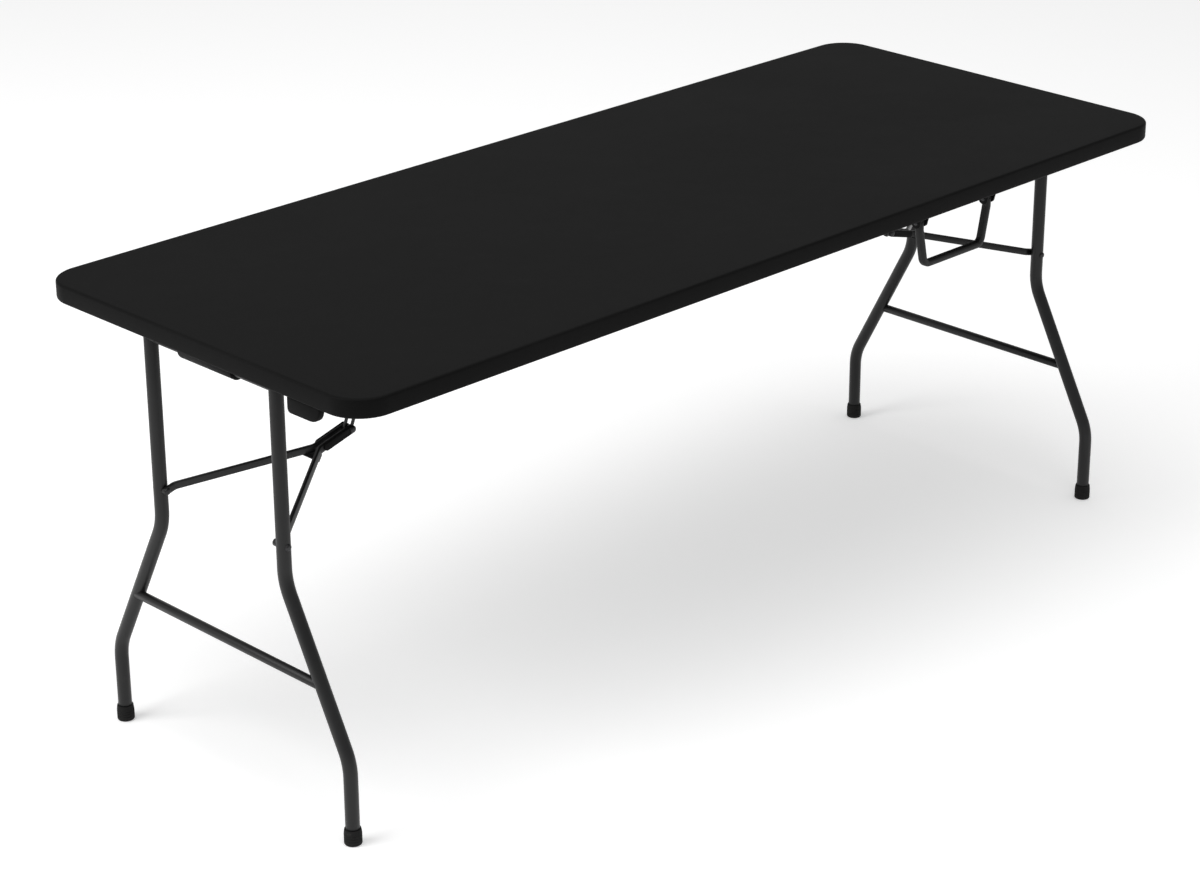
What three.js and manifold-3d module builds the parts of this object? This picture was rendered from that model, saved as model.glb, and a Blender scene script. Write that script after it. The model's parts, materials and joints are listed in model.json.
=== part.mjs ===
// Folding table: a one-piece moulded top on two wishbone leg frames that fold flat beneath it.
// Millimetres, +Z up, X along the length. The origin is on the floor under the middle of the top.
import * as THREE from "three";
import { mergeVertices } from "three/addons/utils/BufferGeometryUtils.js";
import Module from "manifold-3d";

// Overall sizes
const topLength = 1830;
const topWidth = 730;
const tableHeight = 732;

// Moulded top: a panel with a deeper rim all round
const rimDepth = 30;
const rimWidth = 18;
const panelThickness = 16;
const topCornerRadius = 60;
const topEdgeRound = 4;

// Gaps
const seatGap = 0.3; // between pieces that touch
const pinClearance = 0.35; // round a pin in its hole
const barrelClearance = 0.4; // round the pivot tube in its saddle

// Leg frames
const legTubeRadius = 11;
const endToLegs = 38; // from each end of the top to the leg plane
const pivotBelowPanel = 26;
const uprightSpacing = 290;
const footSpacing = 552;
const upperBendHeight = 382;
const lowerBendHeight = 132;
const legBendRadius = 90;
const crossbarRadius = 7.5;
const crossbarHeight = 241;
const crossbarSetback = legTubeRadius - crossbarRadius; // flush with the outer side of the legs
const footRadius = 14;
const footHeight = 26;
const footFloor = 4;
const footBodyHeight = 15.6; // below the taper

// Pivot saddles
const saddleLength = 122;
const saddleWall = 4.5;
const saddleFlange = 24;
const saddleFlangeThickness = 5;
const screwRadius = 2.2;
const screwHeadRadius = 5;
const screwHeadHeight = 2.6;
const screwGrip = 8; // depth in the panel
const screwSpacing = 100;

// Folding brace of each leg frame
const bracePivotHeight = 440;
const knuckleReach = 249; // from the leg plane to the knuckle pin
const knuckleHeight = 508;
const armHeight = 12;
const armThickness = 6.5;
const armEdge = 1.6; // cut off each long edge
const armGapAtKnuckle = 6;
const armParallelEnd = 64; // stretch beside the knuckle where the arms run parallel
const armFlatEnd = 16; // stretch beside the leg
const coverThickness = 2.5;
const coverLength = armParallelEnd - armHeight; // from the knuckle pin back along the arm
const gussetLength = 16;
const gussetThickness = 2;
const braceRivetRadius = 3;
const braceRivetHeadRadius = 5.5;
const braceRivetHeadHeight = 2.4;
const rivetCrownShare = 0.6; // flat middle of a rivet head, as a share of its radius

// Slotted upper link between the knuckle and the top
const linkReach = 330; // from the leg plane to the link's upper pin
const linkPinBelowPanel = 11.5;
const linkWidth = 18;
const linkThickness = 4;
const linkSlotTravel = 37;
const linkSlotSideplay = 2.1;
const linkEndWall = 4.5;
const linkEarThickness = 2.5;
const linkEarLength = 26;
const linkEarFoot = 14;
const linkEarTipHalf = 7.5;
const linkEarBelowPin = 6.5;

// Rails and clips under the panel
const railSpacing = 404;
const railWidth = 28;
const railHeight = 12;
const railSheet = 2;
const railEndSetback = 85;
const clipFromLegs = 607;
const clipLength = 24;
const clipWall = 2.5;
const clipDepth = 29;
const clipMouthPlay = 0.9;

// Carry handle, under the rim of one long side
const handleCentre = 396;
const handleFromEdge = 32;
const handleTopWidth = 172;
const handleGripWidth = 145;
const handleDrop = 76;
const handlePinBelowRim = 16;
const handleShank = 13; // straight stretch below each pivot
const handleThickness = 11;
const handleDepth = 14;
const handleBendRadius = 14;
const handleCornerRadius = 3.85;
const handleBossLength = 14;
const handlePinRadius = 2;
const handlePinHeadRadius = 3.8;
const handlePinHeadHeight = 1.4;
const handleEarThickness = 2.5;
const handleEarRadius = 9;
const handleEarBreadth = 20;
const handleBackThickness = 4;

// Rounded tab moulded under the rim of one end
const tabFromMiddle = 246;
const tabWidth = 70;
const tabDrop = 24;
const tabInnerCorner = 8; // the corner nearer the legs
const tabOuterCorner = 22;
const tabThickness = 11;

const panelUnderside = tableHeight - panelThickness;
const rimUnderside = tableHeight - rimDepth;
const fittingTop = panelUnderside - seatGap;
const legPlane = topLength / 2 - endToLegs;
const pivotHeight = panelUnderside - pivotBelowPanel;
const uprightY = uprightSpacing / 2;
const footY = footSpacing / 2;

const wasm = await Module();
wasm.setup();

const colours = {
  plastic: "#262626",
  paint: "#232323",
  zinc: "#3a3b3d",
  rubber: "#1b1b1b",
  nylon: "#151515",
};
const material = {
  plastic: new THREE.MeshStandardMaterial({ color: colours.plastic, roughness: 0.62, metalness: 0 }),
  paint: new THREE.MeshStandardMaterial({ color: colours.paint, roughness: 0.42, metalness: 0.25 }),
  zinc: new THREE.MeshStandardMaterial({ color: colours.zinc, roughness: 0.35, metalness: 0.9 }),
  rubber: new THREE.MeshStandardMaterial({ color: colours.rubber, roughness: 0.8, metalness: 0 }),
  nylon: new THREE.MeshStandardMaterial({ color: colours.nylon, roughness: 0.5, metalness: 0 }),
};

const table = new THREE.Group();

function solidOf(geometry) {
  const bare = new THREE.BufferGeometry();
  bare.setAttribute("position", geometry.getAttribute("position").clone());
  bare.setIndex(geometry.index);
  const merged = mergeVertices(bare, 1e-3);
  const index = merged.index.array;
  return new wasm.Manifold(
    new wasm.Mesh({
      numProp: 3,
      vertProperties: merged.attributes.position.array,
      triVerts: new Uint32Array(index),
    }),
  );
}

function geometryOf(solid) {
  const mesh = solid.getMesh();
  const geometry = new THREE.BufferGeometry();
  geometry.setAttribute("position", new THREE.BufferAttribute(mesh.vertProperties, 3));
  geometry.setIndex(new THREE.BufferAttribute(mesh.triVerts, 1));
  const faceted = geometry.toNonIndexed();
  faceted.computeVertexNormals();
  return faceted;
}

function cut(geometry, ...tools) {
  return geometryOf(tools.reduce((rest, tool) => rest.subtract(solidOf(tool)), solidOf(geometry)));
}

function join(...geometries) {
  return geometryOf(geometries.map(solidOf).reduce((sum, next) => sum.add(next)));
}

function common(first, second) {
  return geometryOf(solidOf(first).intersect(solidOf(second)));
}

function piece(name, geometry, finish, parent = table) {
  const mesh = new THREE.Mesh(geometry, material[finish]);
  mesh.name = name;
  parent.add(mesh);
  return mesh;
}

// A rod of the given length, centred on a point, along one axis.
function rod(radius, length, axis, [x, y, z], sides = 20) {
  const geometry = new THREE.CylinderGeometry(radius, radius, length, sides);
  if (axis === "x") geometry.rotateZ(Math.PI / 2);
  if (axis === "z") geometry.rotateX(Math.PI / 2);
  return geometry.translate(x, y, z);
}

function block([x0, x1], [y0, y1], [z0, z1]) {
  const geometry = new THREE.BoxGeometry(x1 - x0, y1 - y0, z1 - z0);
  return geometry.translate((x0 + x1) / 2, (y0 + y1) / 2, (z0 + z1) / 2);
}

// A shape drawn in X and Z and given a thickness along Y, centred on y.
function plateXZ(shape, thickness, y = 0, curveSegments = 10) {
  const settings = { depth: thickness, bevelEnabled: false, curveSegments };
  const geometry = new THREE.ExtrudeGeometry(shape, settings);
  return geometry.rotateX(Math.PI / 2).translate(0, y + thickness / 2, 0);
}

// A shape drawn in Y and Z and given a thickness along X, centred on x.
function plateYZ(shape, thickness, x = 0, curveSegments = 10) {
  const settings = { depth: thickness, bevelEnabled: false, curveSegments };
  const geometry = new THREE.ExtrudeGeometry(shape, settings);
  return geometry.rotateX(Math.PI / 2).rotateZ(Math.PI / 2).translate(x - thickness / 2, 0, 0);
}

function roundedRectangle(width, height, radius) {
  const shape = new THREE.Shape();
  const x = width / 2 - radius;
  const y = height / 2 - radius;
  shape.absarc(x, y, radius, 0, Math.PI / 2);
  shape.absarc(-x, y, radius, Math.PI / 2, Math.PI);
  shape.absarc(-x, -y, radius, Math.PI, Math.PI * 1.5);
  shape.absarc(x, -y, radius, Math.PI * 1.5, Math.PI * 2);
  return shape;
}

// A bar outline with round ends, from one centre to another along the shape's X.
function stadium(from, to, halfWidth, Type = THREE.Shape) {
  const outline = new Type();
  outline.absarc(to, 0, halfWidth, -Math.PI / 2, Math.PI / 2);
  outline.absarc(from, 0, halfWidth, Math.PI / 2, Math.PI * 1.5);
  return outline;
}

// A pin with a head at each end, along Z, its shank from z = 0 to the given length.
function rivet(radius, headRadius, headHeight, length) {
  const crown = headRadius * rivetCrownShare;
  const profile = [
    [0, -headHeight],
    [crown, -headHeight],
    [headRadius, 0],
    [radius, 0],
    [radius, length],
    [headRadius, length],
    [crown, length + headHeight],
    [0, length + headHeight],
  ];
  const points = profile.map(([r, z]) => new THREE.Vector2(r, z));
  return new THREE.LatheGeometry(points, 14).rotateX(Math.PI / 2);
}

// A path through fixed stations, so that a sweep takes exactly one step between neighbours.
class StationPath extends THREE.Curve {
  constructor(stations) {
    super();
    this.stations = stations;
  }
  getPoint(t, target = new THREE.Vector3()) {
    const place = t * (this.stations.length - 1);
    const index = THREE.MathUtils.clamp(Math.floor(place), 0, this.stations.length - 2);
    return target.lerpVectors(this.stations[index], this.stations[index + 1], place - index);
  }
  getPointAt(u, target) {
    return this.getPoint(u, target);
  }
  getTangentAt(u, target) {
    return this.getTangent(u, target);
  }
  getSpacedPoints(divisions) {
    return this.getPoints(divisions);
  }
}

// Stations along straight runs whose corners are rounded to a radius.
function roundedRoute(corners, radius, steps = 4) {
  const points = corners.map((corner) => new THREE.Vector3(...corner));
  const stations = [points[0]];
  for (let i = 1; i < points.length - 1; i++) {
    const back = points[i - 1].clone().sub(points[i]).normalize();
    const ahead = points[i + 1].clone().sub(points[i]).normalize();
    const halfAngle = back.angleTo(ahead) / 2;
    const centre = back.clone().add(ahead).normalize().multiplyScalar(radius / Math.sin(halfAngle));
    centre.add(points[i]);
    const start = back.multiplyScalar(radius / Math.tan(halfAngle)).add(points[i]).sub(centre);
    const end = ahead.multiplyScalar(radius / Math.tan(halfAngle)).add(points[i]).sub(centre);
    const axis = start.clone().cross(end).normalize();
    const turn = start.angleTo(end);
    for (let step = 0; step <= steps; step++) {
      stations.push(start.clone().applyAxisAngle(axis, (turn * step) / steps).add(centre));
    }
  }
  stations.push(points[points.length - 1]);
  return stations;
}

function sweep(shape, corners, radius, curveSegments) {
  const stations = roundedRoute(corners, radius);
  return new THREE.ExtrudeGeometry(shape, {
    steps: stations.length - 1,
    extrudePath: new StationPath(stations),
    curveSegments,
  });
}

function circle(radius) {
  return new THREE.Shape().absarc(0, 0, radius, 0, Math.PI * 2);
}

// ---------- top ----------

function tableTop(screwPlaces) {
  const outline = roundedRectangle(topLength, topWidth, topCornerRadius);
  const slab = new THREE.ExtrudeGeometry(outline, {
    depth: rimDepth - 2 * topEdgeRound,
    bevelThickness: topEdgeRound,
    bevelSize: topEdgeRound,
    bevelOffset: -topEdgeRound,
    bevelSegments: 2,
    curveSegments: 6,
  }).translate(0, 0, rimUnderside + topEdgeRound);
  const innerRadius = topCornerRadius - rimWidth;
  const inner = roundedRectangle(topLength - 2 * rimWidth, topWidth - 2 * rimWidth, innerRadius);
  const recess = new THREE.ExtrudeGeometry(inner, {
    depth: rimDepth,
    bevelEnabled: false,
    curveSegments: 6,
  }).translate(0, 0, panelUnderside - rimDepth);
  const holes = screwPlaces.map(([x, y]) =>
    rod(screwRadius + pinClearance, 2 * screwGrip + 2, "z", [x, y, panelUnderside], 12),
  );
  return cut(slab, recess, ...holes);
}

function rail(side) {
  const half = railWidth / 2;
  const low = fittingTop - railHeight;
  const section = new THREE.Shape();
  section.moveTo(-half, low);
  section.lineTo(half, low);
  section.lineTo(half, fittingTop);
  section.lineTo(half - railSheet, fittingTop);
  section.lineTo(half - railSheet, low + railSheet);
  section.lineTo(-half + railSheet, low + railSheet);
  section.lineTo(-half + railSheet, fittingTop);
  section.lineTo(-half, fittingTop);
  section.closePath();
  const geometry = plateYZ(section, topLength - 2 * railEndSetback);
  return geometry.translate(0, (side * railSpacing) / 2, 0);
}

function endTab() {
  const half = tabWidth / 2;
  const top = rimUnderside - seatGap;
  const low = top - tabDrop;
  const shape = new THREE.Shape();
  shape.moveTo(half, top);
  shape.lineTo(half, low + tabInnerCorner);
  shape.quadraticCurveTo(half, low, half - tabInnerCorner, low);
  shape.lineTo(tabOuterCorner - half, low);
  shape.quadraticCurveTo(-half, low, -half, top);
  shape.closePath();
  return plateYZ(shape, tabThickness, -(topLength / 2 - rimWidth / 2), 6).translate(0, -tabFromMiddle, 0);
}

// ---------- leg frames: +X points from the legs to the middle of the table ----------

const screwX = legTubeRadius + barrelClearance + saddleWall + saddleFlange / 2;
const screwYs = [-screwSpacing / 2, screwSpacing / 2];

function saddle() {
  const half = legTubeRadius + barrelClearance + saddleWall;
  const profile = new THREE.Shape();
  profile.moveTo(-half, fittingTop);
  profile.lineTo(-half, pivotHeight);
  profile.absarc(0, pivotHeight, half, Math.PI, Math.PI * 2);
  profile.lineTo(half, fittingTop - saddleFlangeThickness);
  profile.lineTo(half + saddleFlange, fittingTop - saddleFlangeThickness);
  profile.lineTo(half + saddleFlange, fittingTop);
  profile.closePath();
  const bore = new THREE.Path().absarc(0, pivotHeight, legTubeRadius + barrelClearance, 0, Math.PI * 2);
  profile.holes.push(bore);
  const holeRadius = screwRadius + pinClearance;
  const holes = screwYs.map((y) =>
    rod(holeRadius, 4 * saddleFlangeThickness, "z", [screwX, y, fittingTop], 12),
  );
  return cut(plateXZ(profile, saddleLength, 0, 16), ...holes);
}

function screw(y) {
  const headTop = fittingTop - saddleFlangeThickness - seatGap;
  const length = panelUnderside + screwGrip - headTop;
  const shank = rod(screwRadius, length, "z", [screwX, y, headTop + length / 2], 12);
  const headCentre = headTop - screwHeadHeight / 2 + seatGap / 2;
  const head = rod(screwHeadRadius, screwHeadHeight + seatGap, "z", [screwX, y, headCentre], 16);
  return join(shank, head);
}

function legRoute(side) {
  return [
    [0, side * uprightY, pivotHeight + legTubeRadius],
    [0, side * uprightY, upperBendHeight],
    [0, side * footY, lowerBendHeight],
    [0, side * footY, footFloor + seatGap],
  ];
}

function legTube(side, radius = legTubeRadius) {
  return sweep(circle(radius), legRoute(side), legBendRadius, 8);
}

function leg(side) {
  const holeLength = 4 * legTubeRadius;
  const place = [0, side * uprightY, bracePivotHeight];
  return cut(legTube(side), rod(braceRivetRadius + pinClearance, holeLength, "y", place, 14));
}

function pivotTube() {
  const tube = rod(legTubeRadius, uprightSpacing, "y", [0, 0, pivotHeight], 20);
  return cut(tube, legTube(-1, legTubeRadius + seatGap), legTube(1, legTubeRadius + seatGap));
}

function crossbar() {
  const place = [-crossbarSetback, 0, crossbarHeight];
  const bar = rod(crossbarRadius, footSpacing - 4 * legTubeRadius, "y", place, 16);
  const trimmed = cut(bar, legTube(-1, legTubeRadius + seatGap), legTube(1, legTubeRadius + seatGap));
  const kept = solidOf(trimmed).decompose();
  return geometryOf(kept.reduce((a, b) => (a.volume() > b.volume() ? a : b)));
}

function foot(side) {
  const bore = legTubeRadius + seatGap;
  const profile = [
    [0, 0],
    [footRadius - 2, 0],
    [footRadius, 2],
    [footRadius, footBodyHeight],
    [footRadius - 1.4, footHeight - 1],
    [bore + 1, footHeight],
    [bore, footHeight - 0.5],
    [bore, footFloor],
    [0, footFloor],
  ];
  const points = profile.map(([r, z]) => new THREE.Vector2(r, z));
  return new THREE.LatheGeometry(points, 18).rotateX(Math.PI / 2).translate(0, side * footY, 0);
}

const armY = uprightY - legTubeRadius - seatGap - armThickness / 2;
const knuckleY = (armGapAtKnuckle + armThickness) / 2;

function braceRivet(side) {
  const inner = armY - armThickness / 2 - seatGap;
  const outer = uprightY + legTubeRadius + seatGap;
  const pin = rivet(braceRivetRadius, braceRivetHeadRadius, braceRivetHeadHeight, outer - inner);
  pin.rotateX(side > 0 ? -Math.PI / 2 : Math.PI / 2);
  return pin.translate(0, side * inner, bracePivotHeight);
}

// The brace is drawn lying along X from the leg rivets at x = 0, with Z across it, then tilted up.
const braceRise = knuckleHeight - bracePivotHeight;
const braceLength = Math.hypot(knuckleReach, braceRise);
const braceTilt = Math.atan2(braceRise, knuckleReach);
const armConverge = braceLength - armParallelEnd;

function arm(side) {
  const half = armHeight / 2;
  const centre = [
    [-armHeight, armY],
    [armFlatEnd, armY],
    [armConverge, knuckleY],
    [braceLength + armHeight, knuckleY],
  ].map(([x, y]) => [x, side * y, 0]);
  const section = roundedRectangle(armHeight, armThickness, armEdge);
  const strip = sweep(section, centre, armHeight, 1);
  const sideView = plateXZ(stadium(0, braceLength, half), topWidth);
  const holeRadius = braceRivetRadius + pinClearance;
  const holes = [0, braceLength].map((x) => rod(holeRadius, topWidth, "y", [x, 0, 0], 14));
  return cut(common(strip, sideView), ...holes);
}

function knuckleCover(side) {
  const y = side * (knuckleY + (armThickness + coverThickness) / 2 + seatGap);
  const plate = plateXZ(stadium(braceLength - coverLength, braceLength, armHeight / 2), coverThickness, y);
  return cut(plate, rod(braceRivetRadius + pinClearance, topWidth, "y", [braceLength, 0, 0], 14));
}

function gusset() {
  const start = armConverge - gussetLength;
  const end = armConverge;
  const flare = (armY - knuckleY) / (armConverge - armFlatEnd);
  const widthAt = (x) => knuckleY + armThickness / 2 + (armConverge - x) * flare;
  const shape = new THREE.Shape();
  shape.moveTo(start, -widthAt(start));
  shape.lineTo(end, -widthAt(end));
  shape.lineTo(end, widthAt(end));
  shape.lineTo(start, widthAt(start));
  shape.closePath();
  const plate = new THREE.ExtrudeGeometry(shape, { depth: gussetThickness, bevelEnabled: false });
  return plate.translate(0, 0, -armHeight / 2 - seatGap - gussetThickness);
}

function knucklePin() {
  const half = knuckleY + armThickness / 2 + coverThickness + 2 * seatGap;
  const pin = rivet(braceRivetRadius, braceRivetHeadRadius, braceRivetHeadHeight, 2 * half);
  return pin.rotateX(Math.PI / 2).translate(braceLength, half, 0);
}

// The link is drawn along X from its upper pin at x = 0.
const linkPinHeight = panelUnderside - linkPinBelowPanel;
const linkDrop = linkPinHeight - knuckleHeight;
const linkPinToKnuckle = Math.hypot(linkReach - knuckleReach, linkDrop);
const linkTilt = Math.atan2(linkDrop, knuckleReach - linkReach);

function link() {
  const slotHalf = braceRivetRadius + linkSlotSideplay + pinClearance;
  const slotEnd = linkPinToKnuckle + braceRivetRadius + pinClearance - slotHalf;
  const half = linkWidth / 2;
  const shape = stadium(0, linkPinToKnuckle + braceRivetRadius + pinClearance + linkEndWall - half, half);
  shape.holes.push(stadium(slotEnd - linkSlotTravel, slotEnd, slotHalf, THREE.Path));
  shape.holes.push(new THREE.Path().absarc(0, 0, braceRivetRadius + pinClearance, 0, Math.PI * 2));
  return plateXZ(shape, linkThickness);
}

function linkEar(side) {
  const inner = linkThickness / 2 + 2 * seatGap;
  const outer = inner + linkEarThickness;
  const half = linkEarLength / 2;
  const shape = new THREE.Shape();
  shape.moveTo(linkReach - half, fittingTop);
  shape.lineTo(linkReach - half, fittingTop - linkEarThickness);
  shape.lineTo(linkReach - linkEarTipHalf, linkPinHeight - linkEarBelowPin);
  shape.lineTo(linkReach + linkEarTipHalf, linkPinHeight - linkEarBelowPin);
  shape.lineTo(linkReach + half, fittingTop - linkEarThickness);
  shape.lineTo(linkReach + half, fittingTop);
  shape.closePath();
  const wall = plateXZ(shape, linkEarThickness, side * (inner + outer) / 2);
  const ys = [side * inner, side * (outer + linkEarFoot)].sort((a, b) => a - b);
  const flange = block([linkReach - half, linkReach + half], ys, [fittingTop - linkEarThickness, fittingTop]);
  const hole = rod(braceRivetRadius + pinClearance, 4 * outer, "y", [linkReach, 0, linkPinHeight], 14);
  return cut(join(wall, flange), hole);
}

function linkPin() {
  const inner = linkThickness / 2 + linkEarThickness + 3 * seatGap;
  const pin = rivet(braceRivetRadius, braceRivetHeadRadius, braceRivetHeadHeight, 2 * inner);
  return pin.rotateX(Math.PI / 2).translate(linkReach, inner, linkPinHeight);
}

function legClip(side) {
  const inner = legTubeRadius + clipMouthPlay;
  const outer = inner + clipWall;
  const low = fittingTop - clipDepth;
  const shape = new THREE.Shape();
  shape.moveTo(-outer, fittingTop);
  shape.lineTo(-outer, low);
  shape.lineTo(-inner, low);
  shape.lineTo(-inner, fittingTop - clipWall);
  shape.lineTo(inner, fittingTop - clipWall);
  shape.lineTo(inner, low);
  shape.lineTo(outer, low);
  shape.lineTo(outer, fittingTop);
  shape.closePath();
  return plateYZ(shape, clipLength, clipFromLegs).translate(0, side * footY, 0);
}

function buildEnd(end) {
  const frame = new THREE.Group();
  const isLeft = end === "left";
  frame.position.x = isLeft ? -legPlane : legPlane;
  frame.rotation.z = isLeft ? 0 : Math.PI;
  table.add(frame);
  const sides = [
    [-1, isLeft ? "near" : "far"],
    [1, isLeft ? "far" : "near"],
  ];
  const brace = new THREE.Group();
  brace.position.z = bracePivotHeight;
  brace.rotation.y = -braceTilt;
  frame.add(brace);
  const upper = new THREE.Group();
  upper.position.set(linkReach, 0, linkPinHeight);
  upper.rotation.y = linkTilt;
  frame.add(upper);

  piece(`${end}_pivot_saddle`, saddle(), "nylon", frame);
  screwYs.forEach((y, i) => piece(`${end}_saddle_screw_${i + 1}`, screw(y), "zinc", frame));
  piece(`${end}_pivot_tube`, pivotTube(), "paint", frame);
  piece(`${end}_crossbar`, crossbar(), "paint", frame);
  piece(`${end}_upper_link`, link(), "paint", upper);
  piece(`${end}_link_pin`, linkPin(), "zinc", frame);
  piece(`${end}_brace_gusset`, gusset(), "paint", brace);
  piece(`${end}_knuckle_pin`, knucklePin(), "zinc", brace);
  for (const [side, name] of sides) {
    piece(`${end}_${name}_leg`, leg(side), "paint", frame);
    piece(`${end}_${name}_foot`, foot(side), "rubber", frame);
    piece(`${end}_${name}_brace_rivet`, braceRivet(side), "zinc", frame);
    piece(`${end}_${name}_brace_arm`, arm(side), "paint", brace);
    piece(`${end}_${name}_knuckle_cover`, knuckleCover(side), "nylon", brace);
    piece(`${end}_${name}_link_ear`, linkEar(side), "paint", frame);
    piece(`${end}_${name}_leg_clip`, legClip(side), "nylon", frame);
  }
}

// ---------- carry handle ----------

const handleY = -(topWidth / 2 - handleFromEdge);
const handlePinHeight = rimUnderside - handlePinBelowRim;
const bossRadius = handleThickness / 2;
const handleHoleRadius = handlePinRadius + pinClearance;

function carryHandle() {
  const low = handlePinHeight - handleDrop;
  const section = roundedRectangle(handleDepth, handleThickness, handleCornerRadius);
  const topX = handleTopWidth / 2;
  const gripX = handleGripWidth / 2;
  const route = [
    [handleCentre - topX, handleY, handlePinHeight],
    [handleCentre - topX, handleY, handlePinHeight - handleShank],
    [handleCentre - gripX, handleY, low],
    [handleCentre + gripX, handleY, low],
    [handleCentre + topX, handleY, handlePinHeight - handleShank],
    [handleCentre + topX, handleY, handlePinHeight],
  ];
  const bow = sweep(section, route, handleBendRadius, 2);
  const ends = [handleCentre - topX, handleCentre + topX];
  const bosses = ends.map((x) =>
    rod(bossRadius, handleBossLength, "x", [x, handleY, handlePinHeight], 18),
  );
  const holes = ends.map((x) =>
    rod(handleHoleRadius, 2 * handleBossLength, "x", [x, handleY, handlePinHeight], 12),
  );
  return cut(join(bow, ...bosses), ...holes);
}

function handleBracket(side) {
  const middle = handleCentre + (side * handleTopWidth) / 2;
  const inner = handleBossLength / 2 + 2 * seatGap;
  const outer = inner + handleEarThickness;
  const back = -(topWidth / 2 - rimWidth) + seatGap;
  const backPlate = block(
    [middle - outer, middle + outer],
    [back, back + handleBackThickness],
    [rimUnderside, fittingTop],
  );
  const shape = new THREE.Shape();
  shape.moveTo(back + handleEarBreadth, fittingTop);
  shape.lineTo(back, fittingTop);
  shape.lineTo(back, rimUnderside);
  shape.absarc(handleY, handlePinHeight, handleEarRadius, Math.PI, Math.PI * 2);
  shape.closePath();
  const ears = [-1, 1].map((wall) =>
    plateYZ(shape, handleEarThickness, middle + (wall * (inner + outer)) / 2, 6),
  );
  const hole = rod(handleHoleRadius, 3 * outer, "x", [middle, handleY, handlePinHeight], 12);
  return cut(join(backPlate, ...ears), hole);
}

function handlePin(side) {
  const middle = handleCentre + (side * handleTopWidth) / 2;
  const half = handleBossLength / 2 + handleEarThickness + 3 * seatGap;
  const pin = rivet(handlePinRadius, handlePinHeadRadius, handlePinHeadHeight, 2 * half);
  return pin.rotateY(Math.PI / 2).translate(middle - half, handleY, handlePinHeight);
}

// ---------- assembly ----------

const screwPlaces = [-1, 1].flatMap((end) => screwYs.map((y) => [end * (legPlane - screwX), y]));
piece("table_top", tableTop(screwPlaces), "plastic");
piece("near_rail", rail(-1), "paint");
piece("far_rail", rail(1), "paint");
piece("end_tab", endTab(), "plastic");
buildEnd("left");
buildEnd("right");
piece("carry_handle", carryHandle(), "nylon");
[-1, 1].forEach((side, i) => {
  piece(`handle_bracket_${i + 1}`, handleBracket(side), "nylon");
  piece(`handle_pin_${i + 1}`, handlePin(side), "zinc");
});

export default table;
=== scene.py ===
import json
import math

import bmesh
import bpy
from mathutils import Matrix, Vector

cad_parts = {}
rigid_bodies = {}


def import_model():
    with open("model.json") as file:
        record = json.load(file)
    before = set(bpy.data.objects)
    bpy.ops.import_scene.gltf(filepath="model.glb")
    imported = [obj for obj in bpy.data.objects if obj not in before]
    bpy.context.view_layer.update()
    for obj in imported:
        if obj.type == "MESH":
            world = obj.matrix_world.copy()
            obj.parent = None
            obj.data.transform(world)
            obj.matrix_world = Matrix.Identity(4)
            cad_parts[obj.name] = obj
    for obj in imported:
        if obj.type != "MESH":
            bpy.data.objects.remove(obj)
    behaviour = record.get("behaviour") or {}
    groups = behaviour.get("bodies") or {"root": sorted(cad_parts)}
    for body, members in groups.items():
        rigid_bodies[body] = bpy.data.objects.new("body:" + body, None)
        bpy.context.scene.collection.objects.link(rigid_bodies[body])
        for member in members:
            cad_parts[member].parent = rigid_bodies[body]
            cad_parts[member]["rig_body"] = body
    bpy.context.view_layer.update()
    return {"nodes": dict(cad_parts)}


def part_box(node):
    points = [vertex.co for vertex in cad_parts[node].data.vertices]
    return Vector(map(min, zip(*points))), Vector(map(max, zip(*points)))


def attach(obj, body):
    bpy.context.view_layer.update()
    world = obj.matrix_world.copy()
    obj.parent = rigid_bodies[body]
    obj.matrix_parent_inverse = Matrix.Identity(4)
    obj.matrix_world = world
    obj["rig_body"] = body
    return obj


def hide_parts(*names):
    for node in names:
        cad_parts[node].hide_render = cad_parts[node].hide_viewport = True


# Folding table with a moulded top on two wishbone leg frames. Metres, Z up, X along the top.
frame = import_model()
scene = bpy.context.scene
mergeDistance = 1e-6  # points nearer than this are one point
print("frame loaded with", len(frame["nodes"]), "nodes")

# aim in degrees, lens and sensor in millimetres
cameraSetup = {
    "place": (-3.4466, -3.3986, 2.3565),
    "yaw": 44.64,
    "pitch": 23.14,
    "roll": -0.268,
    "lens": 94.36,
    "sensor": 36.0,
    "near": 0.1,
    "far": 100.0,
}


def makeCamera(setup):
    yaw = math.radians(setup["yaw"])
    pitch = math.radians(setup["pitch"])
    roll = math.radians(setup["roll"])
    ahead = Vector((math.sin(yaw) * math.cos(pitch), math.cos(yaw) * math.cos(pitch), -math.sin(pitch)))
    level = Vector((math.cos(yaw), -math.sin(yaw), 0))
    upright = level.cross(ahead)
    right = math.cos(roll) * level + math.sin(roll) * upright
    top = math.cos(roll) * upright - math.sin(roll) * level
    lens = bpy.data.cameras.new("studioCamera")
    lens.lens = setup["lens"]
    lens.sensor_width = setup["sensor"]
    lens.clip_start = setup["near"]
    lens.clip_end = setup["far"]
    holder = bpy.data.objects.new("studioCamera", lens)
    scene.collection.objects.link(holder)
    turned = Matrix((right, top, -ahead)).transposed().to_4x4()
    holder.matrix_world = Matrix.Translation(setup["place"]) @ turned
    scene.camera = holder


makeCamera(cameraSetup)

# square soft panels, all aimed at the middle of the table
lightSetup = {
    "sky": (0.48, 0.48, 0.48),
    "skyStrength": 1.0,
    "panels": (
        {"name": "leftPanel", "place": (-4.2, 1.4, 3.2), "size": 3.2, "power": 126.0},
        {"name": "topPanel", "place": (-0.6, -0.4, 4.6), "size": 3.6, "power": 78.0},
        {"name": "frontPanel", "place": (-1.0, -2.8, 4.6), "size": 2.4, "power": 22.0},
    ),
    "target": (0.0, 0.0, 0.45),
}


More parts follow.
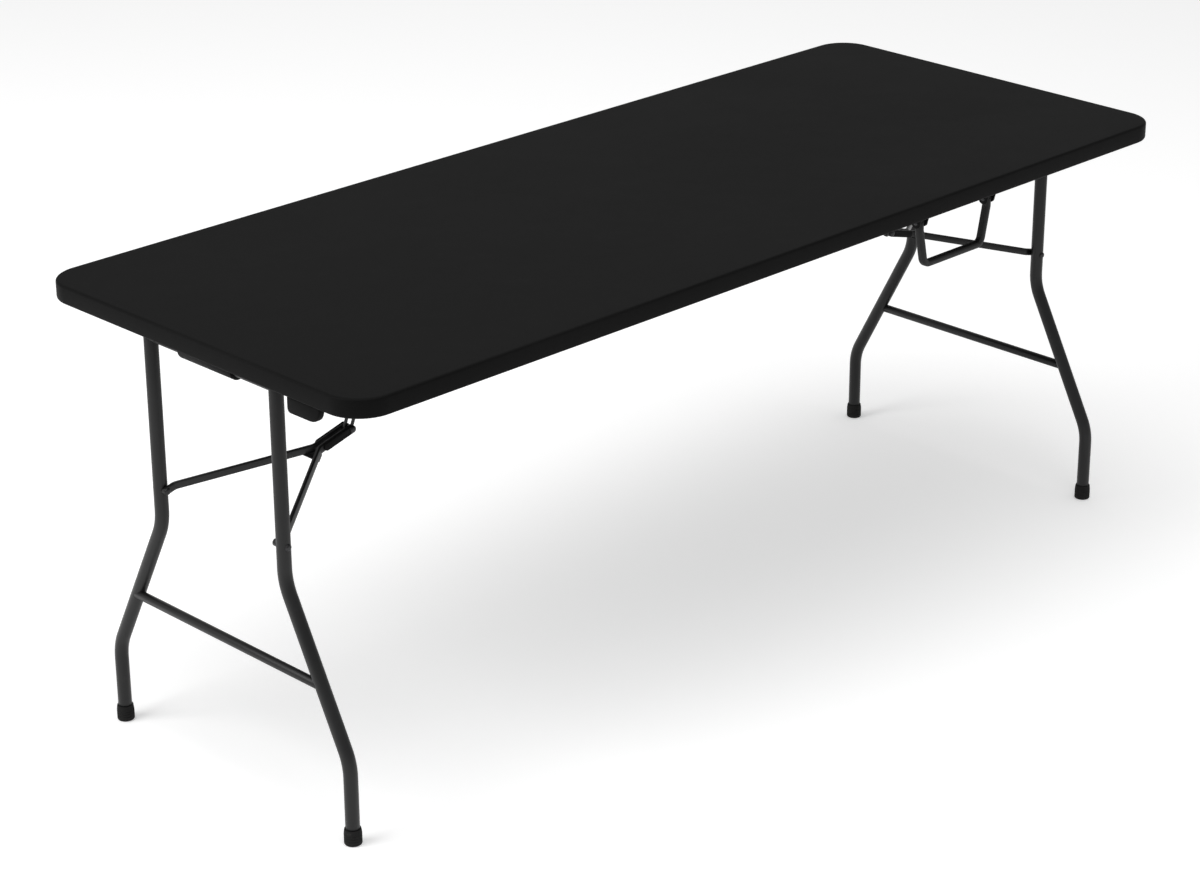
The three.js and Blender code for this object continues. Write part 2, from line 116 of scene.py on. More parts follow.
def makeLights(setup):
    world = bpy.data.worlds.new("studioSky")
    scene.world = world
    world.use_nodes = True
    sky = world.node_tree.nodes["Background"]
    sky.inputs["Color"].default_value = (*setup["sky"], 1)
    sky.inputs["Strength"].default_value = setup["skyStrength"]
    for panel in setup["panels"]:
        lamp = bpy.data.lights.new(panel["name"], "AREA")
        lamp.shape = "SQUARE"
        lamp.size = panel["size"]
        lamp.energy = panel["power"]
        holder = bpy.data.objects.new(panel["name"], lamp)
        scene.collection.objects.link(holder)
        place = Vector(panel["place"])
        aim = (Vector(setup["target"]) - place).to_track_quat("-Z", "Y")
        holder.matrix_world = Matrix.Translation(place) @ aim.to_matrix().to_4x4()
    scene.view_settings.view_transform = "Standard"


makeLights(lightSetup)
print("camera and lights placed")

# the colour mix node's sockets go by number, as its data types share their names
mixSockets = {"share": 0, "plain": 6, "other": 7, "result": 2}

edgeSamples = 4  # rays that look for a hard edge nearby

# noise that every finish shares; where there is a low and a high, it runs from 0 to 1 between them
patterns = {
    "cloud": {"detail": 4.0, "roughness": 0.5, "low": 0.32, "high": 0.68},
    "grain": {"detail": 3.0, "roughness": 0.6},
    "wear": {"detail": 5.0, "roughness": 0.7, "low": 0.42, "high": 0.62},
    "scuff": {"detail": 6.0, "roughness": 0.75, "low": 0.6, "high": 0.72},
    "swell": {"detail": 2.0, "roughness": 0.5},
}


class Wire:
    # wraps one socket, so that shader sums read as plain expressions
    def __init__(self, tree, socket=None):
        self.tree = tree
        self.socket = socket

    def node(self, kind, settings=None, inputs=None, output=0):
        made = self.tree.nodes.new(kind)
        for key, value in (settings or {}).items():
            setattr(made, key, value)
        for key, value in (inputs or {}).items():
            if isinstance(value, Wire):
                self.tree.links.new(value.socket, made.inputs[key])
            else:
                made.inputs[key].default_value = value
        return Wire(self.tree, made.outputs[output])

    def maths(self, operation, first, second):
        return self.node("ShaderNodeMath", {"operation": operation}, {0: first, 1: second})

    def __add__(self, other):
        return self.maths("ADD", self, other)

    def __sub__(self, other):
        return self.maths("SUBTRACT", self, other)

    def __rsub__(self, other):
        return self.maths("SUBTRACT", other, self)

    def __mul__(self, other):
        return self.maths("MULTIPLY", self, other)

    __radd__ = __add__
    __rmul__ = __mul__

    def clear(self, low, high):
        # 0 below low, 1 above high, smooth between
        inputs = {"Value": self, "From Min": low, "From Max": high}
        return self.node("ShaderNodeMapRange", {"interpolation_type": "SMOOTHSTEP"}, inputs)

    def mix(self, plain, other):
        # this wire is the share of the other colour
        inputs = {mixSockets["share"]: self, mixSockets["plain"]: plain, mixSockets["other"]: other}
        return self.node("ShaderNodeMix", {"data_type": "RGBA"}, inputs, mixSockets["result"])


def speckle(place, look, kind):
    pattern = patterns[kind]
    inputs = {
        "Vector": place,
        "Scale": look[kind + "Scale"],
        "Detail": pattern["detail"],
        "Roughness": pattern["roughness"],
    }
    noise = place.node("ShaderNodeTexNoise", None, inputs)
    if "low" in pattern:
        noise = noise.clear(pattern["low"], pattern["high"])
    return noise


def edgeShare(place, radius, gain):
    # how close a point is to a hard edge, from 0 to 1
    rounded = place.node("ShaderNodeBevel", {"samples": edgeSamples}, {"Radius": radius})
    flat = place.node("ShaderNodeNewGeometry", None, None, "Normal")
    inputs = {0: rounded, 1: flat}
    alike = place.node("ShaderNodeVectorMath", {"operation": "DOT_PRODUCT"}, inputs, "Value")
    return ((1 - alike) * gain).clear(0.0, 1.0)


def makeFinish(name, slotName, look):
    # cloudy colour with lighter edges, from wear and from a painted sheen, and dusty scuffs over a fine
    # grain and a slow swell
    material = bpy.data.materials.new(name)
    material.use_nodes = True
    tree = material.node_tree
    shader = tree.nodes["Principled BSDF"]
    place = Wire(tree).node("ShaderNodeTexCoord", None, None, "Object")
    cloud = speckle(place, look, "cloud")
    grain = speckle(place, look, "grain")
    broken = speckle(place, look, "wear")
    edge = edgeShare(place, look["edgeRadius"], look["edgeGain"])
    # lighter edges: wear, and on the moulded top partly a painted sheen along its rounded edges
    wear = edge * broken * look["wearAndSheenAmount"]
    scuff = speckle(place, look, "scuff") * look["scuffAmount"]
    base = cloud.mix(look["dark"], look["light"])
    base = wear.mix(base, look["bare"])
    base = scuff.mix(base, look["dust"])
    roughness = cloud * look["roughSpread"] + look["rough"] + grain * look["grainRough"]
    roughness = roughness - wear * look["wearShine"]
    fine = place.node(
        "ShaderNodeBump",
        None,
        {"Strength": look["grainStrength"], "Distance": look["grainDepth"], "Height": grain},
    )
    swell = speckle(place, look, "swell")
    shaped = place.node(
        "ShaderNodeBump",
        None,
        {"Strength": 1.0, "Distance": look["swellDepth"], "Height": swell, "Normal": fine},
    )
    tree.links.new(base.socket, shader.inputs["Base Color"])
    tree.links.new(roughness.socket, shader.inputs["Roughness"])
    tree.links.new(shaped.socket, shader.inputs["Normal"])
    shader.inputs["Metallic"].default_value = look["metallic"]
    shader.inputs["Specular IOR Level"].default_value = look["specular"]
    return {"material": material, "slot": slotName}


mouldedPlastic = makeFinish("mouldedPlastic", "moulded_top", {
    "dark": (0.0031, 0.0031, 0.0031, 1),
    "light": (0.0044, 0.0044, 0.0044, 1),
    # the top's lighter edge colour: partly wear, partly a painted sheen where its edges round over
    "bare": (0.015, 0.015, 0.015, 1),
    "dust": (0.0105, 0.0105, 0.0105, 1),
    "cloudScale": 3.5,
    "grainScale": 950.0,
    "wearScale": 60.0,
    "scuffScale": 14.0,
    "swellScale": 7.0,
    "edgeRadius": 0.0035,
    "edgeGain": 9.0,
    "wearAndSheenAmount": 0.55,
    "scuffAmount": 0.18,
    "rough": 0.50,
    "roughSpread": 0.05,
    "grainRough": 0.10,
    "wearShine": 0.08,
    "grainStrength": 0.55,
    "grainDepth": 0.00028,
    "swellDepth": 0.0012,
    "metallic": 0.0,
    "specular": 0.055,
})
powderPaint = makeFinish("powderPaint", "painted_steel", {
    "dark": (0.0072, 0.0072, 0.0074, 1),
    "light": (0.0100, 0.0100, 0.0103, 1),
    "bare": (0.050, 0.049, 0.047, 1),
    "dust": (0.021, 0.0205, 0.020, 1),
    "cloudScale": 9.0,
    "grainScale": 620.0,
    "wearScale": 110.0,
    "scuffScale": 30.0,
    "swellScale": 40.0,
    "edgeRadius": 0.0016,
    "edgeGain": 7.0,
    "wearAndSheenAmount": 0.6,
    "scuffAmount": 0.22,
    "rough": 0.32,
    "roughSpread": 0.07,
    "grainRough": 0.08,
    "wearShine": 0.12,
    "grainStrength": 0.40,
    "grainDepth": 0.00016,
    "swellDepth": 0.0003,
    "metallic": 0.0,
    "specular": 0.30,
})
blackNylon = makeFinish("blackNylon", "black_nylon", {
    "dark": (0.0032, 0.0032, 0.0033, 1),
    "light": (0.0046, 0.0046, 0.0048, 1),
    "bare": (0.016, 0.016, 0.016, 1),
    "dust": (0.012, 0.012, 0.012, 1),
    "cloudScale": 16.0,
    "grainScale": 900.0,
    "wearScale": 140.0,
    "scuffScale": 40.0,
    "swellScale": 30.0,
    "edgeRadius": 0.0012,
    "edgeGain": 7.0,
    "wearAndSheenAmount": 0.5,
    "scuffAmount": 0.2,
    "rough": 0.44,
    "roughSpread": 0.06,
    "grainRough": 0.08,
    "wearShine": 0.06,
    "grainStrength": 0.35,
    "grainDepth": 0.00014,
    "swellDepth": 0.0002,
    "metallic": 0.0,
    "specular": 0.07,
})
handlePlastic = makeFinish("handlePlastic", "handle_plastic", {
    "dark": (0.0074, 0.0074, 0.0076, 1),
    "light": (0.0102, 0.0102, 0.0104, 1),
    "bare": (0.034, 0.034, 0.034, 1),
    "dust": (0.020, 0.020, 0.020, 1),
    "cloudScale": 18.0,
    "grainScale": 760.0,
    "wearScale": 120.0,
    "scuffScale": 36.0,
    "swellScale": 26.0,
    "edgeRadius": 0.0014,
    "edgeGain": 6.0,
    "wearAndSheenAmount": 0.4,
    "scuffAmount": 0.25,
    "rough": 0.42,
    "roughSpread": 0.06,
    "grainRough": 0.08,
    "wearShine": 0.08,
    "grainStrength": 0.4,
    "grainDepth": 0.00018,
    "swellDepth": 0.0002,
    "metallic": 0.0,
    "specular": 0.24,
})
footRubber = makeFinish("footRubber", "foot_rubber", {
    "dark": (0.0058, 0.0058, 0.0058, 1),
    "light": (0.0090, 0.0088, 0.0086, 1),
    "bare": (0.028, 0.027, 0.026, 1),
    "dust": (0.040, 0.038, 0.035, 1),
    "cloudScale": 34.0,
    "grainScale": 1100.0,
    "wearScale": 130.0,
    "scuffScale": 70.0,
    "swellScale": 60.0,
    "edgeRadius": 0.0014,
    "edgeGain": 6.0,
    "wearAndSheenAmount": 0.6,
    "scuffAmount": 0.45,
    "rough": 0.68,
    "roughSpread": 0.1,
    "grainRough": 0.1,
    "wearShine": 0.0,
    "grainStrength": 0.5,
    "grainDepth": 0.0002,
    "swellDepth": 0.0003,
    "metallic": 0.0,
    "specular": 0.2,
})
blackZinc = makeFinish("blackZinc", "fasteners", {
    "dark": (0.030, 0.030, 0.031, 1),
    "light": (0.050, 0.050, 0.052, 1),
    "bare": (0.16, 0.16, 0.16, 1),
    "dust": (0.070, 0.066, 0.060, 1),
    "cloudScale": 90.0,
    "grainScale": 1500.0,
    "wearScale": 200.0,
    "scuffScale": 120.0,
    "swellScale": 150.0,
    "edgeRadius": 0.0006,
    "edgeGain": 6.0,
    "wearAndSheenAmount": 0.5,
    "scuffAmount": 0.4,
    "rough": 0.28,
    "roughSpread": 0.14,
    "grainRough": 0.1,
    "wearShine": 0.08,
    "grainStrength": 0.3,
    "grainDepth": 0.0001,
    "swellDepth": 0.0001,
    "metallic": 0.9,
    "specular": 0.5,
})
print("finishes made")

roundProfile = 0.5  # a bevel with the section of a circle

# degrees between two faces: above them an edge is shaded or bevelled, below "flat" they are joined
edgeAngles = {
    "shaded": 38.0,
    "shadedOnArms": 60.0,
    "bevelled": 60.0,
    "bevelledOnFittings": 40.0,
    "bevelledOnHandle": 70.0,
    "flat": 0.6,
}


class NodeBox:
    # a CAD node's box at rest
    def __init__(self, node):
        self.low, self.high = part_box(node)
        self.middle = (self.low + self.high) / 2
        self.size = self.high - self.low


def pieceName(node):
    words = node.split("_")
    return words[0] + "".join(word.capitalize() for word in words[1:])


def standFor(bm, node, finish, smoothAngle=edgeAngles["shaded"]):
    # makes the finished piece and lets it stand for the CAD node
    mesh = bpy.data.meshes.new(pieceName(node))
    bm.to_mesh(mesh)
    bm.free()
    mesh.materials.append(finish["material"])
    mesh.shade_smooth()
    mesh.set_sharp_from_angle(angle=math.radians(smoothAngle))
    piece = bpy.data.objects.new(pieceName(node), mesh)
    scene.collection.objects.link(piece)
    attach(piece, frame["nodes"][node]["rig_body"])
    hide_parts(node)
    return piece


def bevel(bm, affect, items, offset, segments):
    bmesh.ops.bevel(
        bm,
        geom=items,
        offset=offset,
        offset_type="OFFSET",
        segments=segments,
        profile=roundProfile,
        affect=affect,
        clamp_overlap=affect == "EDGES",
        material=-1,
    )


def sharpEdges(bm, degrees):
    limit = math.radians(degrees)
    return [edge for edge in bm.edges if len(edge.link_faces) == 2 and edge.calc_face_angle() > limit]


def turnOutward(bm):
    bmesh.ops.remove_doubles(bm, verts=bm.verts[:], dist=mergeDistance)
    bmesh.ops.recalc_face_normals(bm, faces=bm.faces[:])


def facing(place, heading, side):
    # a matrix whose Z is the heading and whose X is the side
    across = heading.cross(side)
    return Matrix.Translation(place) @ Matrix((side, across, heading)).transposed().to_4x4()


def roundSection(bm, placed, radius, sides):
    made = bmesh.ops.create_circle(bm, cap_ends=True, segments=sides, radius=radius, matrix=placed)
    ring = set(made["verts"])
    return [edge for edge in bm.edges if edge.verts[0] in ring and edge.verts[1] in ring]


def rectangle(bm, width, height):
    # one face about the origin, from a grid whose size is half its width
    verts = bmesh.ops.create_grid(bm, x_segments=1, y_segments=1, size=0.5)["verts"]
    bmesh.ops.scale(bm, vec=(width, height, 1), verts=verts)
    return verts


def barSection(bm, placed, width, height, corner, segments):
    bevel(bm, "VERTICES", rectangle(bm, width, height), corner, segments)
    bmesh.ops.transform(bm, matrix=placed, verts=bm.verts[:])
    return [edge for edge in bm.edges if edge.is_boundary]


def growRing(bm, ring, offset):
    # draws a section out along a straight run
    grown = bmesh.ops.extrude_edge_only(bm, edges=ring)["geom"]
    verts = [item for item in grown if isinstance(item, bmesh.types.BMVert)]
    bmesh.ops.translate(bm, verts=verts, vec=offset)
    kept = set(verts)
    edges = [item for item in grown if isinstance(item, bmesh.types.BMEdge)]
    return [edge for edge in edges if edge.verts[0] in kept and edge.verts[1] in kept]


def turnRing(bm, ring, centre, axis, angle, steps):
    # draws a section round a bend
    verts = list({vert for edge in ring for vert in edge.verts})
    last = bmesh.ops.spin(
        bm,
        geom=verts + ring,
        cent=centre,
        axis=axis,
        angle=angle,
        steps=steps,
        use_merge=False,
        use_duplicate=False,
    )["geom_last"]
    return [item for item in last if isinstance(item, bmesh.types.BMEdge)]


def followRoute(bm, ring, corners, bendRadius, bendSteps):
    # carries a section along straight runs with rounded corners, then closes the end
    heading = (corners[1] - corners[0]).normalized()
    here = corners[0]
    for corner, ahead in zip(corners[1:-1], corners[2:]):
        onward = (ahead - corner).normalized()
        turn = heading.angle(onward)
        start = corner - heading * bendRadius * math.tan(turn / 2)
        ring = growRing(bm, ring, start - here)
        axis = heading.cross(onward).normalized()
        centre = start + axis.cross(heading) * bendRadius
        ring = turnRing(bm, ring, centre, axis, turn, bendSteps)
        here = corner + onward * bendRadius * math.tan(turn / 2)
        heading = onward
    ring = growRing(bm, ring, corners[-1] - here)
    bmesh.ops.holes_fill(bm, edges=ring, sides=0)
    turnOutward(bm)


def turnedShape(profile, sides):
    # spins a profile of (radius, height) points about Z
    bm = bmesh.new()
    verts = [bm.verts.new((radius, 0, height)) for radius, height in profile]
    edges = [bm.edges.new(pair) for pair in zip(verts, verts[1:])]
    bmesh.ops.spin(
        bm,
        geom=verts + edges,
        cent=(0, 0, 0),
        axis=(0, 0, 1),
        angle=math.tau,
        steps=sides,
        use_merge=True,
    )
    turnOutward(bm)
    return bm


topShape = {
    "corner": 0.060,
    "cornerSegments": 16,
    "edgeRound": 0.004,
    "edgeSegments": 4,
    "innerRound": 0.0025,
    "innerSegments": 3,
    "outward": 0.5,  # a face is on the outside where it looks outward by more than this share
    "rimWidth": 0.018,
    "recess": 0.014,
    "support": 0.004,
    "dimplePitch": 0.0605,
    "dimpleMargin": 0.013,
    "dimpleCorner": 0.0105,
    "dimpleSegments": 3,
    "dimpleSlope": 0.006,
    "dimpleDepth": 0.005,
    "fullCell": 0.999,  # a cell with less than this share of its area is left without a well
}


def makeTop(shape):
    # a slab with a rim round the recessed underside
    box = NodeBox("table_top")
    bm = bmesh.new()
    verts = rectangle(bm, box.size.x, box.size.y)
    bmesh.ops.translate(bm, vec=(box.middle.x, box.middle.y, box.high.z), verts=verts)
    bevel(bm, "VERTICES", verts, shape["corner"], shape["cornerSegments"])
    topFace = bm.faces[:][0]
    grown = bmesh.ops.extrude_face_region(bm, geom=[topFace], use_keep_orig=True)["geom"]
    moved = [item for item in grown if isinstance(item, bmesh.types.BMVert)]
    bmesh.ops.translate(bm, vec=(0, 0, -box.size.z), verts=moved)
    under = [item for item in grown if isinstance(item, bmesh.types.BMFace)]
    bmesh.ops.recalc_face_normals(bm, faces=bm.faces[:])
    bmesh.ops.inset_region(bm, faces=under, thickness=shape["rimWidth"], use_even_offset=True)
    raised = bmesh.ops.extrude_face_region(bm, geom=under)["geom"]
    moved = [item for item in raised if isinstance(item, bmesh.types.BMVert)]
    bmesh.ops.translate(bm, vec=(0, 0, shape["recess"]), verts=moved)
    # the face that the recess is drawn from stays behind inside, so it goes
    bmesh.ops.delete(bm, geom=under, context="FACES_ONLY")
    bmesh.ops.recalc_face_normals(bm, faces=bm.faces[:])
    outer = []
    inner = []
    panelHeight = box.low.z + shape["recess"]
    for edge in sharpEdges(bm, edgeAngles["bevelled"]):
        heights = [vert.co.z for vert in edge.verts]
        isUpright = max(heights) - min(heights) > mergeDistance
        onPanel = abs(heights[0] - panelHeight) < mergeDistance
        if isUpright or onPanel:
            continue
        onTop = heights[0] > box.high.z - mergeDistance
        outward = edgeOutward(edge)
        onOutside = any(face.normal.dot(outward) > shape["outward"] for face in edge.link_faces)
        (outer if onTop or onOutside else inner).append(edge)
    bevel(bm, "EDGES", outer, shape["edgeRound"], shape["edgeSegments"])
    inner = [edge for edge in inner if edge.is_valid]
    bevel(bm, "EDGES", inner, shape["innerRound"], shape["innerSegments"])
    # a narrow border keeps the shading of the big flat face even
    flat = max(bm.faces, key=lambda face: face.calc_center_median().z + face.calc_area())
    bmesh.ops.inset_region(bm, faces=[flat], thickness=shape["support"], use_even_offset=True)
    addDimples(bm, shape, panelHeight, box.size)
    return standFor(bm, "table_top", mouldedPlastic)


def edgeOutward(edge):
    # a level direction from the middle of the top to the edge
    middle = (edge.verts[0].co + edge.verts[1].co) / 2
    along = (edge.verts[1].co - edge.verts[0].co).normalized()
    across = Vector((along.y, -along.x, 0))
    if across.dot(middle) < 0:
        across = -across
    return across


def facesAt(bm, height):
    return [face for face in bm.faces if abs(face.calc_center_median().z - height) < mergeDistance]


def addDimples(bm, shape, height, size):
    # a field of shallow wells moulded into the underside, on cells cut by planes at an even pitch
    pitch = shape["dimplePitch"]
    panels = facesAt(bm, height)
    for axis, reach in ((0, size.x), (1, size.y)):
        count = int(reach / 2 / pitch)
        for step in range(-count, count + 1):
            place = Vector((0, 0, height))
            place[axis] = step * pitch
            normal = Vector((0, 0, 0))
            normal[axis] = 1
            cut = set(panels)
            cut.update(edge for face in panels for edge in face.edges)
            cut.update(vert for face in panels for vert in face.verts)
            bmesh.ops.bisect_plane(
                bm,
                geom=list(cut),
                dist=mergeDistance,
                plane_co=place,
                plane_no=normal,
            )
            panels = facesAt(bm, height)
    full = pitch * pitch * shape["fullCell"]
    cells = [face for face in panels if len(face.verts) == 4 and face.calc_area() > full]
    bmesh.ops.inset_individual(bm, faces=cells, thickness=shape["dimpleMargin"], use_even_offset=True)
    corners = list({vert for face in cells for vert in face.verts})
    bevel(bm, "VERTICES", corners, shape["dimpleCorner"], shape["dimpleSegments"])
    sides = 4 * (shape["dimpleSegments"] + 1)  # four corners, each now an arc
    wells = [face for face in bm.faces if len(face.verts) == sides and face.calc_area() < full]
    bmesh.ops.inset_individual(
        bm,
        faces=wells,
        thickness=shape["dimpleSlope"],
        depth=-shape["dimpleDepth"],
        use_even_offset=True,
    )


makeTop(topShape)
print("top made")

# both leg frames are bent from the same tube
tubeShape = {
    "sides": 32,
    "bend": 0.090,
    "bendSteps": 10,
    "upperBend": 0.382,
    "lowerBend": 0.132,
    "radius": 0.011,
    "crossbarRadius": 0.0075,
    "endRound": 0.0008,
    "endSegments": 2,
}


def makeRod(node, radius, corners, shape):
    bm = bmesh.new()
    heading = (corners[1] - corners[0]).normalized()
    ring = roundSection(bm, facing(corners[0], heading, Vector((1, 0, 0))), radius, shape["sides"])
    followRoute(bm, ring, corners, shape["bend"], shape["bendSteps"])
    ends = sharpEdges(bm, edgeAngles["bevelled"])
    bevel(bm, "EDGES", ends, shape["endRound"], shape["endSegments"])
    return standFor(bm, node, powderPaint)


def makeLeg(node, shape):
    # close to the middle at the top and splayed out to the foot
    box = NodeBox(node)
    side = 1 if box.middle.y > 0 else -1
    inner = min(abs(box.low.y), abs(box.high.y)) + shape["radius"]
    outer = max(abs(box.low.y), abs(box.high.y)) - shape["radius"]
    corners = [
        Vector((box.middle.x, side * inner, box.high.z)),
        Vector((box.middle.x, side * inner, shape["upperBend"])),
        Vector((box.middle.x, side * outer, shape["lowerBend"])),
        Vector((box.middle.x, side * outer, box.low.z)),
    ]
    return makeRod(node, shape["radius"], corners, shape)


def makeCrossTube(node, radius, shape):
    box = NodeBox(node)
    corners = [
        Vector((box.middle.x, box.low.y, box.middle.z)),
        Vector((box.middle.x, box.high.y, box.middle.z)),
    ]
    return makeRod(node, radius, corners, shape)


footShape = {
    "sides": 40,
    "bore": 0.01135,
    "lip": 0.0125,
    "lipDrop": 0.0005,
    "shoulderIn": 0.0008,
    "shoulderDrop": 0.0018,
    "hollow": 0.0006,
    "hollowShare": 0.5,  # shares of the radius, where the sole's hollow ends and the sole starts
    "soleShare": 0.55,
    "toeRound": 0.0022,
    "toeIn": 0.4,  # shares of the toe's round, at the one point on it
    "toeUp": 0.3,
    "grooves": 3,
    "grooveDepth": 0.0007,
    "grooveWidth": 0.0016,
    "grooveSlope": 0.3,
    "firstGroove": 0.0075,
    "groovePitch": 0.0044,
    "floor": 0.004,
}


def makeFoot(node, shape):
    # a cap open at the top for the tube, with rings round it
    box = NodeBox(node)
    radius = box.size.x / 2
    top = box.size.z
    toe = shape["toeRound"]
    profile = [
        (0, shape["hollow"]),
        (radius * shape["hollowShare"], shape["hollow"]),
        (radius * shape["soleShare"], 0),
        (radius - toe, 0),
        (radius - toe * shape["toeIn"], toe * shape["toeUp"]),
        (radius, toe),
    ]
    inset = radius - shape["grooveDepth"]
    width = shape["grooveWidth"]
    slope = width * shape["grooveSlope"]
    for step in range(shape["grooves"]):
        start = shape["firstGroove"] + step * shape["groovePitch"]
        profile += [
            (radius, start),
            (inset, start + slope),
            (inset, start + width - slope),
            (radius, start + width),
        ]
    profile += [
        (radius - shape["shoulderIn"], top - shape["shoulderDrop"]),
        (shape["lip"], top),
        (shape["bore"], top - shape["lipDrop"]),
        (shape["bore"], shape["floor"]),
        (0, shape["floor"]),
    ]
    bm = turnedShape(profile, shape["sides"])
    bmesh.ops.translate(bm, vec=(box.middle.x, box.middle.y, box.low.z), verts=bm.verts[:])
    return standFor(bm, node, footRubber)


# the dome is in shares of the head's radius and height; axis 0 is X and axis 1 is Y
pinShape = {
    "sides": 28,
    "dome": ((0.0, 1.0), (0.34, 0.97), (0.62, 0.84), (0.84, 0.58), (0.96, 0.26), (1.0, 0.0)),
    "rivet": {"axis": 1, "shank": 0.003, "head": 0.0024},
    "handlePin": {"axis": 0, "shank": 0.002, "head": 0.0014},
}


def makePin(node, kind, shape):
    # a shank with a domed head at each end
    box = NodeBox(node)
    axis = shape[kind]["axis"]
    head = shape[kind]["head"]
    shank = shape[kind]["shank"]
    across = max(box.size[(axis + 1) % 3], box.size[(axis + 2) % 3]) / 2
    half = box.size[axis] / 2
    upper = [(share * across, half - head + rise * head) for share, rise in shape["dome"]]
    profile = upper + [(shank, half - head), (shank, head - half)]
    profile += [(radius, -height) for radius, height in reversed(upper)]
    bm = turnedShape(profile, shape["sides"])
    along = Vector((0, 0, 0))
    along[axis] = 1
    turn = along.to_track_quat("Z", "Y").to_matrix().to_4x4()
    bmesh.ops.transform(bm, matrix=Matrix.Translation(box.middle) @ turn, verts=bm.verts[:])
    return standFor(bm, node, blackZinc)


# the crown is in shares of the head's radius, with heights from its lowest point
screwShape = {
    "sides": 28,
    "shank": 0.0022,
    "head": 0.0026,
    "underHead": 0.0002,
    "recess": 0.0019,
    "recessDepth": 0.0012,
    "recessFloor": 0.4,
    "recessEdge": 0.0002,
    "crown": ((0.6, 0.0001), (0.85, 0.00091), (0.98, 0.00195)),
    "tip": 0.002,
}


def makeScrew(node, shape):
    # head down, with a round recess in the head
    box = NodeBox(node)
    radius = box.size.x / 2
    head = shape["head"]
    profile = [
        (0, shape["recessDepth"]),
        (shape["recess"] * shape["recessFloor"], shape["recessDepth"]),
        (shape["recess"], shape["recessEdge"]),
    ]
    profile += [(share * radius, height) for share, height in shape["crown"]]
    profile += [
        (radius, head),
        (shape["shank"], head + shape["underHead"]),
        (shape["shank"], box.size.z - shape["tip"]),
        (0, box.size.z),
    ]
    bm = turnedShape(profile, shape["sides"])
    bmesh.ops.translate(bm, vec=(box.middle.x, box.middle.y, box.low.z), verts=bm.verts[:])
    return standFor(bm, node, blackZinc)


# how far each kind of fitting's edges are eased; a folded arm keeps its own
fittingShape = {
    "merge": 1e-5,
    "segments": 2,
    "saddle": 0.0012,
    "plate": 0.0005,
    "cover": 0.0007,
    "clip": 0.0006,
    "rail": 0.0006,
    "bracket": 0.0006,
    "tab": 0.0016,
    "arm": 0,
}


def makeFitting(node, finish, kind, shape, smoothAngle=edgeAngles["shaded"]):
    # the CAD fitting with its flat faces joined up and its edges eased
    bm = bmesh.new()
    bm.from_mesh(frame["nodes"][node].data)
    bmesh.ops.remove_doubles(bm, verts=bm.verts[:], dist=shape["merge"])
    bmesh.ops.dissolve_limit(
        bm,
        angle_limit=math.radians(edgeAngles["flat"]),
        verts=bm.verts[:],
        edges=bm.edges[:],
    )
    if shape[kind]:
        edges = sharpEdges(bm, edgeAngles["bevelledOnFittings"])
        bevel(bm, "EDGES", edges, shape[kind], shape["segments"])
    return standFor(bm, node, finish, smoothAngle)


for end in ("left", "right"):
    makeCrossTube(end + "_pivot_tube", tubeShape["radius"], tubeShape)
    makeCrossTube(end + "_crossbar", tubeShape["crossbarRadius"], tubeShape)
    makeFitting(end + "_pivot_saddle", blackNylon, "saddle", fittingShape)
    makeFitting(end + "_upper_link", powderPaint, "plate", fittingShape)
    makeFitting(end + "_brace_gusset", powderPaint, "plate", fittingShape)
    makePin(end + "_link_pin", "rivet", pinShape)
    makePin(end + "_knuckle_pin", "rivet", pinShape)
    makeScrew(end + "_saddle_screw_1", screwShape)
    makeScrew(end + "_saddle_screw_2", screwShape)
    for side in ("near", "far"):
        start = end + "_" + side
        makeLeg(start + "_leg", tubeShape)
        makeFoot(start + "_foot", footShape)
        makePin(start + "_brace_rivet", "rivet", pinShape)
        makeFitting(start + "_brace_arm", powderPaint, "arm", fittingShape, edgeAngles["shadedOnArms"])
        makeFitting(start + "_knuckle_cover", blackNylon, "cover", fittingShape)
        makeFitting(start + "_link_ear", powderPaint, "plate", fittingShape)
        makeFitting(start + "_leg_clip", blackNylon, "clip", fittingShape)
    print(end, "leg frame made")

makeFitting("near_rail", powderPaint, "rail", fittingShape)
makeFitting("far_rail", powderPaint, "rail", fittingShape)
makeFitting("end_tab", mouldedPlastic, "tab", fittingShape)
print("rails and end tab made")

handleShape = {
    "thickness": 0.011,
    "depth": 0.014,
    "corner": 0.0042,
    "cornerSegments": 5,
    "shank": 0.013,
    "gripNarrower": 0.0135,
    "bend": 0.014,
    "bendSteps": 8,
    "bossLength": 0.014,
    "bossSides": 32,
    "bossRound": 0.0008,
    "bossSegments": 2,
}


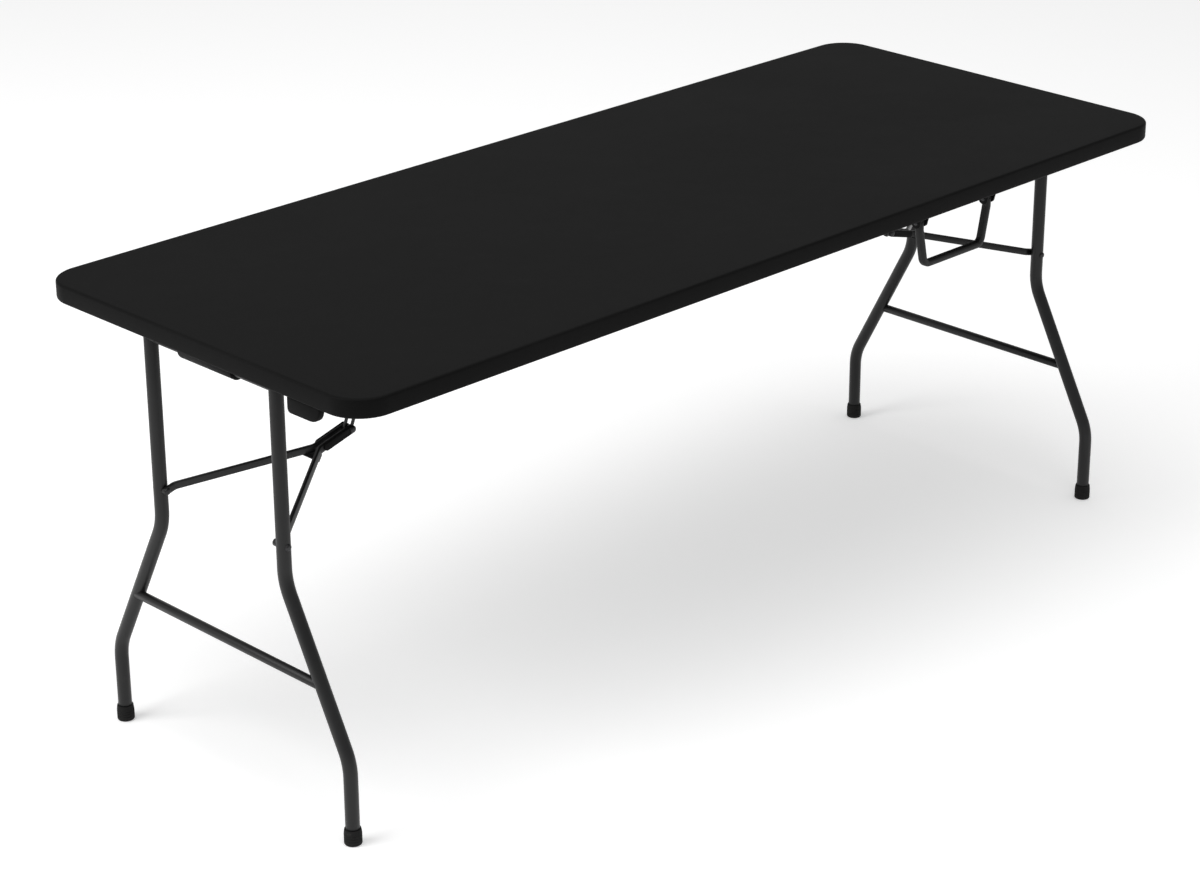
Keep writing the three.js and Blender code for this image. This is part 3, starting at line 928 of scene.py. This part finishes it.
def makeHandle(shape):
    # a grip hung from two arms, each with a round boss on its pin
    box = NodeBox("carry_handle")
    boss = shape["thickness"] / 2
    pivotHeight = box.high.z - boss
    shankHeight = pivotHeight - shape["shank"]
    gripHeight = box.low.z + boss
    left = box.low.x + shape["bossLength"] / 2
    right = box.high.x - shape["bossLength"] / 2
    corners = [
        Vector((left, box.middle.y, pivotHeight)),
        Vector((left, box.middle.y, shankHeight)),
        Vector((left + shape["gripNarrower"], box.middle.y, gripHeight)),
        Vector((right - shape["gripNarrower"], box.middle.y, gripHeight)),
        Vector((right, box.middle.y, shankHeight)),
        Vector((right, box.middle.y, pivotHeight)),
    ]
    bm = bmesh.new()
    placed = facing(corners[0], Vector((0, 0, -1)), Vector((1, 0, 0)))
    ring = barSection(
        bm,
        placed,
        shape["thickness"],
        shape["depth"],
        shape["corner"],
        shape["cornerSegments"],
    )
    followRoute(bm, ring, corners, shape["bend"], shape["bendSteps"])
    turned = Matrix.Rotation(math.pi / 2, 4, "Y")
    for place in (corners[0], corners[-1]):
        bmesh.ops.create_cone(
            bm,
            cap_ends=True,
            segments=shape["bossSides"],
            radius1=boss,
            radius2=boss,
            depth=shape["bossLength"],
            matrix=Matrix.Translation(place) @ turned,
        )
    rims = sharpEdges(bm, edgeAngles["bevelledOnHandle"])
    bevel(bm, "EDGES", rims, shape["bossRound"], shape["bossSegments"])
    return standFor(bm, "carry_handle", handlePlastic)


makeHandle(handleShape)
for number in ("1", "2"):
    makeFitting("handle_bracket_" + number, blackNylon, "bracket", fittingShape)
    makePin("handle_pin_" + number, "handlePin", pinShape)
print("handle made")

# the drop keeps the feet just clear of the floor
floorSetup = {
    "size": 60.0,
    "colour": (0.9, 0.9, 0.9, 1),
    "rough": 0.9,
    "glow": 0.34,
    "drop": 0.0002,
}


def makeFloor(setup):
    bm = bmesh.new()
    bmesh.ops.create_grid(bm, x_segments=1, y_segments=1, size=setup["size"] / 2)
    bmesh.ops.translate(bm, vec=(0, 0, -setup["drop"]), verts=bm.verts[:])
    mesh = bpy.data.meshes.new("studioFloor")
    bm.to_mesh(mesh)
    bm.free()
    material = bpy.data.materials.new("studioFloor")
    material.use_nodes = True
    shader = material.node_tree.nodes["Principled BSDF"]
    shader.inputs["Base Color"].default_value = setup["colour"]
    shader.inputs["Roughness"].default_value = setup["rough"]
    shader.inputs["Specular IOR Level"].default_value = 0
    shader.inputs["Emission Color"].default_value = setup["colour"]
    shader.inputs["Emission Strength"].default_value = setup["glow"]
    mesh.materials.append(material)
    floor = bpy.data.objects.new("studioFloor", mesh)
    scene.collection.objects.link(floor)


makeFloor(floorSetup)
print("floor made")
